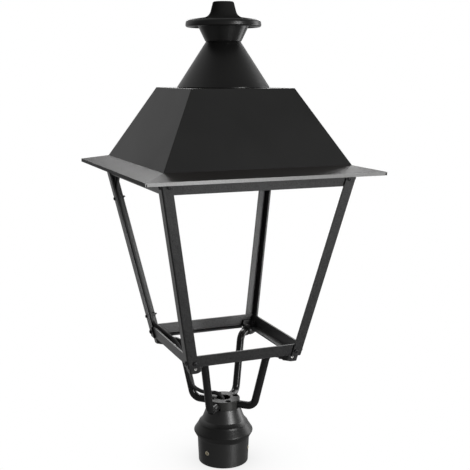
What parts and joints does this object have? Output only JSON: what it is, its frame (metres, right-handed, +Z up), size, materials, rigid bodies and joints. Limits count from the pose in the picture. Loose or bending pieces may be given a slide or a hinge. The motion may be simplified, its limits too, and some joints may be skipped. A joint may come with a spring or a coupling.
{
  "type": "led street light head",
  "caption": "Post-top lantern head: open four-legged cage, square sloping hood with spire, downward LED unit, bent-tube arms and a socket for a round post.",
  "frame": {"origin": "centre of the mouth of the post socket, on the lantern's vertical axis", "axes": "+Z up along the post's axis towards the finial; X and Y square to the four sides of the cage"},
  "size_m": [0.4, 0.4, 0.8045],
  "materials": {
    "satin_black_paint": "smooth satin powder coat",
    "hood_black_paint": "dusty satin powder coat",
    "gloss_black_paint": "glossy powder coat on bent tube",
    "textured_black_paint": "fine textured powder coat",
    "hub_grey_paint": "worn satin powder coat",
    "zinc_steel": "zinc plated",
    "black_steel": "black oxide",
    "brass": "turned brass",
    "galvanised_sheet": "galvanised sheet",
    "raw_aluminium": "extruded, raw",
    "board_white": "white solder mask",
    "clear_plastic": "moulded clear optics",
    "black_rubber": "matt rubber",
    "black_nylon": "moulded nylon",
    "grey_plastic": "moulded casing",
    "white_plastic": "moulded casing"
  },
  "bodies": {
    "root": {"arm_back_left": "gloss_black_paint", "arm_back_right": "gloss_black_paint", "arm_front_left": "gloss_black_paint", "arm_front_right": "gloss_black_paint", "arm_hub": "hub_grey_paint", "arm_set_screws": "zinc_steel", "cable_clips": "black_nylon", "cable_connector": "black_nylon", "cable_gland": "black_nylon", "chimney_cone": "satin_black_paint", "clip_nuts": "black_steel", "clip_screws": "black_steel", "corner_foot_back_left": "textured_black_paint", "corner_foot_back_right": "textured_black_paint", "corner_foot_front_left": "textured_black_paint", "corner_foot_front_right": "textured_black_paint", "driver_box": "grey_plastic", "finial_cap": "satin_black_paint", "foot_bolts": "black_steel", "foot_set_screws": "zinc_steel", "gear_screws": "zinc_steel", "gear_tray": "galvanised_sheet", "gland_nut": "black_nylon", "grub_screws": "brass", "heat_sink": "raw_aluminium", "hood_screws": "zinc_steel", "hub_screws": "zinc_steel", "led_board": "board_white", "leg_back_left": "textured_black_paint", "leg_back_right": "textured_black_paint", "leg_front_left": "textured_black_paint", "leg_front_right": "textured_black_paint", "leg_screws": "black_steel", "lens_frame": "textured_black_paint", "lens_frame_screws": "zinc_steel", "lens_gasket": "black_rubber", "lens_plate": "clear_plastic", "lower_rail_back": "textured_black_paint", "lower_rail_front": "textured_black_paint", "lower_rail_left": "textured_black_paint", "lower_rail_right": "textured_black_paint", "post_cup": "satin_black_paint", "power_cable": "black_rubber", "rod_nuts": "zinc_steel", "roof_hood": "hood_black_paint", "surge_protector": "black_nylon", "terminal_block": "white_plastic", "tie_rod": "zinc_steel", "upper_rail_back": "textured_black_paint", "upper_rail_front": "textured_black_paint", "upper_rail_left": "textured_black_paint", "upper_rail_right": "textured_black_paint", "vent_funnel": "satin_black_paint"}
  },
  "joints": []
}
